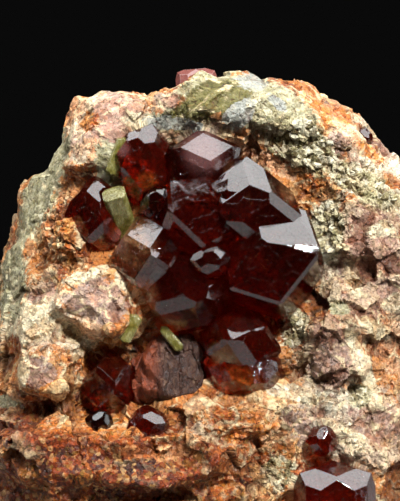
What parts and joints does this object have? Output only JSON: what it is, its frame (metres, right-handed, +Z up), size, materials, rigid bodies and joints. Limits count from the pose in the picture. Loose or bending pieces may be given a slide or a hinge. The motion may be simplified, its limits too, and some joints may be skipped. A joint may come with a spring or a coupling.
{
  "type": "mineral specimen",
  "caption": "Blocky rock of massive garnet and diopside with clusters of faceted red garnet crystals in the pockets of its upright face, sawn flat below to stand.",
  "frame": {"origin": "on the sawn base, under the middle of the rock", "axes": "+Z up; the crystal face looks towards -Y and leans back 12 degrees; +X is to the right of someone facing it"},
  "size_m": [0.063, 0.0489, 0.0608],
  "materials": {
    "stone": "rough broken massive garnet with pale green diopside",
    "garnet": "glossy, dark red, see-through at thin edges",
    "broken_garnet": "broken, brown red, dull to greasy",
    "diopside": "satin, yellow green, partly see-through"
  },
  "bodies": {
    "root": {"diopside_blade_left": "diopside", "diopside_blade_right": "diopside", "diopside_prism": "diopside", "diopside_upper": "diopside", "garnet_broken_middle": "broken_garnet", "garnet_crown": "garnet", "garnet_foot": "garnet", "garnet_ledge": "garnet", "garnet_ledge_dark": "garnet", "garnet_left": "garnet", "garnet_lower_left": "garnet", "garnet_lower_right": "garnet", "garnet_main_cluster": "garnet", "garnet_right_small": "garnet", "garnet_shoulder": "garnet", "garnet_upper_left": "garnet", "matrix": "stone"}
  },
  "joints": []
}
